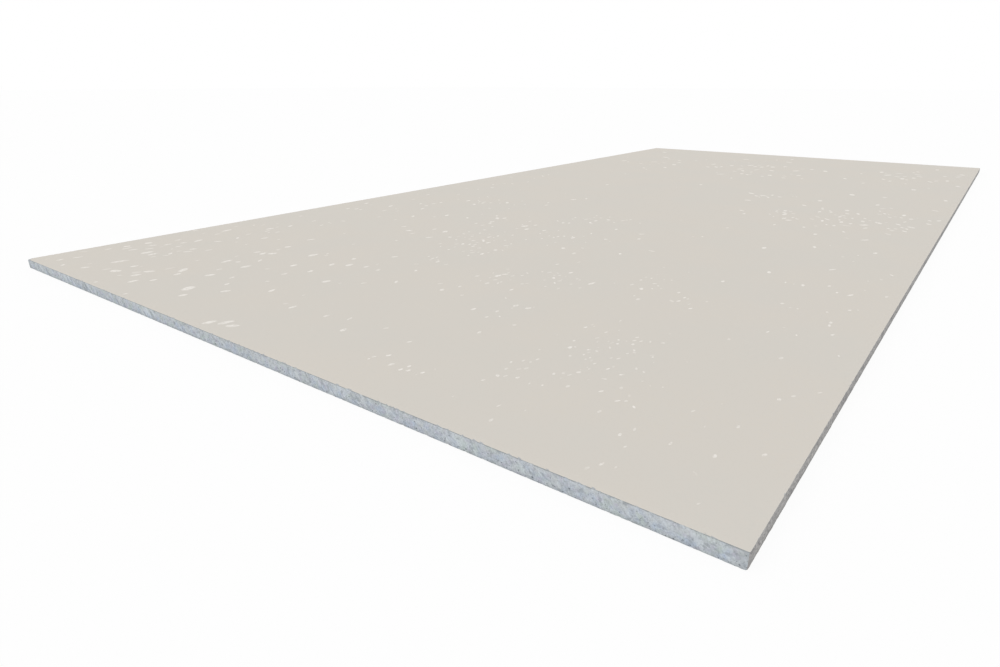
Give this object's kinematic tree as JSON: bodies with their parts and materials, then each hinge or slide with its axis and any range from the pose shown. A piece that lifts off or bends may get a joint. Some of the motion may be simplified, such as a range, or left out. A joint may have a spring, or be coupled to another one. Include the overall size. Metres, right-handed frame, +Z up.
{
  "type": "sheathing board",
  "caption": "Rigid flat mineral sheathing board, a plain rectangular sheet with square sawn edges and a smooth, lightly flecked face.",
  "frame": {"origin": "middle of the back of the board, which lies on the ground", "axes": "+X along the length, +Y across the width, +Z up out of the face"},
  "size_m": [2.4, 1.2, 0.015],
  "materials": {
    "board": "matte"
  },
  "bodies": {
    "root": {"board": "board"}
  },
  "joints": []
}
